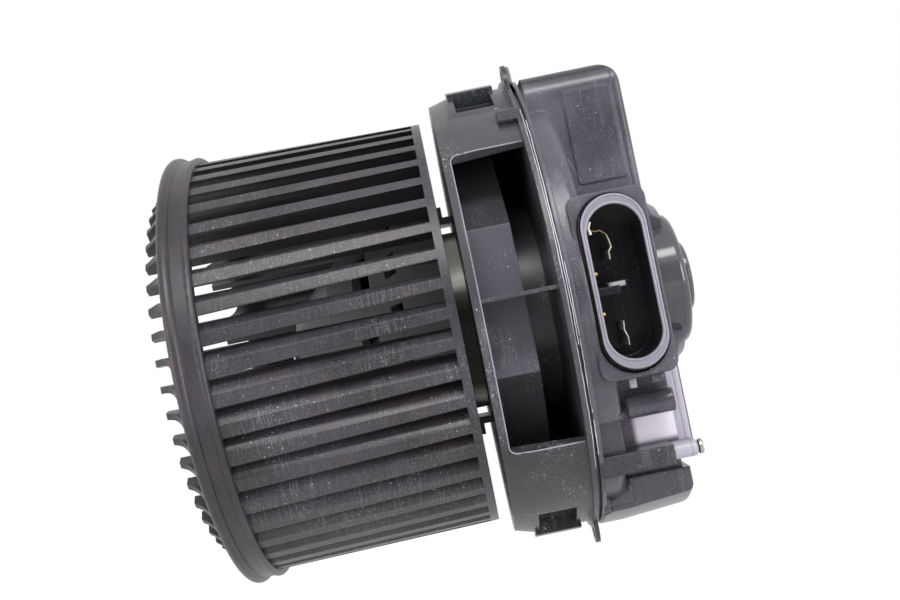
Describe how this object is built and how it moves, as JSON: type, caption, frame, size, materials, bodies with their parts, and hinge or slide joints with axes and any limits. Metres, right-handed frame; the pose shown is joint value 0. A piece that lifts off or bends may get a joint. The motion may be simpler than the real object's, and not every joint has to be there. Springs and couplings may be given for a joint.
{
  "type": "car cabin blower motor",
  "caption": "Squirrel-cage fan wheel on a small electric motor, in a moulded holder with flange, cooling duct, plug socket and rear cap.",
  "frame": {"origin": "on the fan axis, in the flange face that seats on the heater box", "axes": "+X along the fan axis towards the motor's rear cap, with the fan wheel at -X; the plug socket faces -Y; +Z towards the top of the cooling duct"},
  "size_m": [0.1862, 0.1743, 0.1737],
  "materials": {
    "black_plastic": "satin",
    "holder_plastic": "satin",
    "cover_plastic": "satin",
    "cap_plastic": "gloss",
    "steel": "brushed",
    "core_steel": "satin",
    "copper": "satin",
    "bronze": "satin",
    "ferrite": "matte",
    "carbon": "matte",
    "tin": "gloss",
    "rubber": "matte"
  },
  "bodies": {
    "housing": {"motor_holder": "holder_plastic", "rear_cover": "cover_plastic", "rear_lid": "cover_plastic", "connector_socket": "cover_plastic", "terminal_upper": "tin", "terminal_lower": "tin", "motor_can": "steel", "end_plate": "steel", "magnet_near": "ferrite", "magnet_far": "ferrite", "front_bearing": "bronze", "rear_bearing": "bronze", "brush_holder": "holder_plastic", "brush_spring_upper": "steel", "brush_spring_lower": "steel", "choke_upper": "copper", "choke_lower": "copper", "front_damper": "rubber", "rear_damper": "rubber", "motor_cap": "cap_plastic", "cap_collar": "cap_plastic", "cover_screws": "steel"},
    "rotor": {"fan_wheel": "black_plastic", "wheel_clip": "steel", "motor_shaft": "steel", "armature_core": "core_steel", "armature_winding": "copper", "commutator": "copper"},
    "upper_brush": {"brush_upper": "carbon"},
    "lower_brush": {"brush_lower": "carbon"}
  },
  "joints": [
    {"name": "rotor_spin", "type": "hinge", "parent": "housing", "child": "rotor", "pos_m": [0, 0, 0], "axis": [1, 0, 0], "continuous": true},
    {"name": "upper_brush_slide", "type": "slide", "parent": "housing", "child": "upper_brush", "axis": [0, 0, 1], "range_m": [0, 0.003], "stiffness_N_per_m": 150, "springref_m": -0.008, "deforming": ["brush_spring_upper"]},
    {"name": "lower_brush_slide", "type": "slide", "parent": "housing", "child": "lower_brush", "axis": [0, 0, -1], "range_m": [0, 0.003], "stiffness_N_per_m": 150, "springref_m": -0.008, "deforming": ["brush_spring_lower"]}
  ]
}
